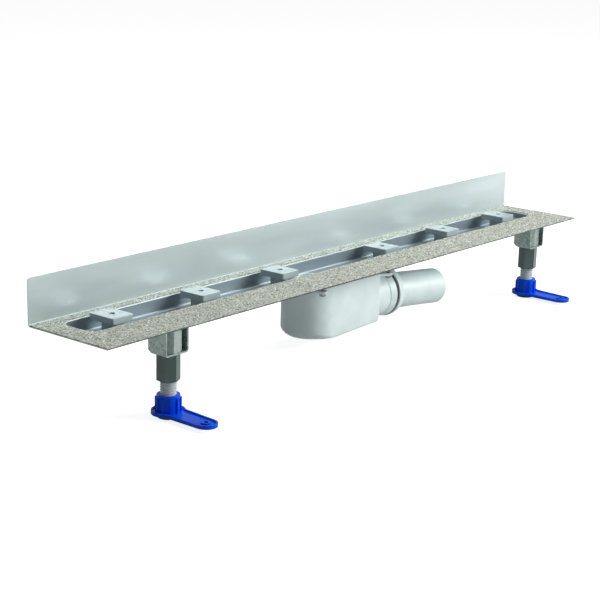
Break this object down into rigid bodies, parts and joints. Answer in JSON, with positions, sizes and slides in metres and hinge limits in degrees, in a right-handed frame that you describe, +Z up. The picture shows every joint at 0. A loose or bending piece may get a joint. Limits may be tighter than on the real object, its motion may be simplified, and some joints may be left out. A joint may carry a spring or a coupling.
{
  "type": "channel drain",
  "caption": "Wall-side shower channel drain with upstand, sand-coated flange, cover supports, low trap with swivelling spigot and height-adjustable feet.",
  "frame": {"origin": "centre of the upstand's wall face, at mid length and mid height", "axes": "+X along the channel towards the outlet, +Y out of the wall face into the wall, +Z up"},
  "size_m": [0.973, 0.1897, 0.1613],
  "materials": {
    "stainless_sheet": "brushed",
    "quartz_sand_coat": "rough",
    "stainless_stud": "satin",
    "white_polypropylene": "satin",
    "grey_support_plastic": "satin",
    "black_rubber": "matte",
    "zinc_steel": "satin",
    "grey_sleeve_plastic": "satin",
    "light_grey_nylon": "satin",
    "blue_plastic": "gloss"
  },
  "bodies": {
    "channel": {"channel_body": "stainless_sheet", "flange_sand_coat": "quartz_sand_coat", "support_studs": "stainless_stud", "trap_housing": "white_polypropylene", "trap_lid": "white_polypropylene", "trap_studs": "stainless_stud", "trap_nuts": "stainless_stud", "inlet_gasket": "black_rubber", "inlet_ring": "white_polypropylene", "outlet_retaining_ring": "white_polypropylene", "outlet_ball_seal": "black_rubber", "outlet_wiper_ring": "black_rubber", "outlet_hood": "white_polypropylene", "cover_support_1": "grey_support_plastic", "cover_support_2": "grey_support_plastic", "cover_support_3": "grey_support_plastic", "cover_support_4": "grey_support_plastic", "cover_support_5": "grey_support_plastic", "cover_support_6": "grey_support_plastic", "left_foot_bracket": "zinc_steel", "left_leg_locknut": "zinc_steel", "left_leg_sleeve": "grey_sleeve_plastic", "right_foot_bracket": "zinc_steel", "right_leg_locknut": "zinc_steel", "right_leg_sleeve": "grey_sleeve_plastic"},
    "trap_insert": {"odour_trap_insert": "white_polypropylene", "insert_seal": "black_rubber"},
    "outlet": {"outlet_pipe": "white_polypropylene"},
    "left_leg": {"left_leg_rod": "light_grey_nylon"},
    "left_foot": {"left_foot_base": "blue_plastic", "left_foot_pad": "black_rubber"},
    "right_leg": {"right_leg_rod": "light_grey_nylon"},
    "right_foot": {"right_foot_base": "blue_plastic", "right_foot_pad": "black_rubber"}
  },
  "joints": [
    {"name": "insert_lift", "type": "slide", "parent": "channel", "child": "trap_insert", "axis": [0, 0, 1], "range_m": [0, 0.085]},
    {"name": "outlet_swivel", "type": "hinge", "parent": "channel", "child": "outlet", "pos_m": [0.098, -0.0445, -0.0888], "axis": [0, 0, 1], "range_deg": [-3.5, 14.5]},
    {"name": "left_leg_height", "type": "slide", "parent": "channel", "child": "left_leg", "axis": [0, 0, 1], "range_m": [-0.035, 0.007]},
    {"name": "left_foot_turn", "type": "hinge", "parent": "left_leg", "child": "left_foot", "pos_m": [-0.3799, -0.11475, -0.115], "axis": [0, 0, 1], "continuous": true},
    {"name": "right_leg_height", "type": "slide", "parent": "channel", "child": "right_leg", "axis": [0, 0, 1], "range_m": [-0.035, 0.007]},
    {"name": "right_foot_turn", "type": "hinge", "parent": "right_leg", "child": "right_foot", "pos_m": [0.3799, -0.11475, -0.115], "axis": [0, 0, 1], "continuous": true}
  ]
}
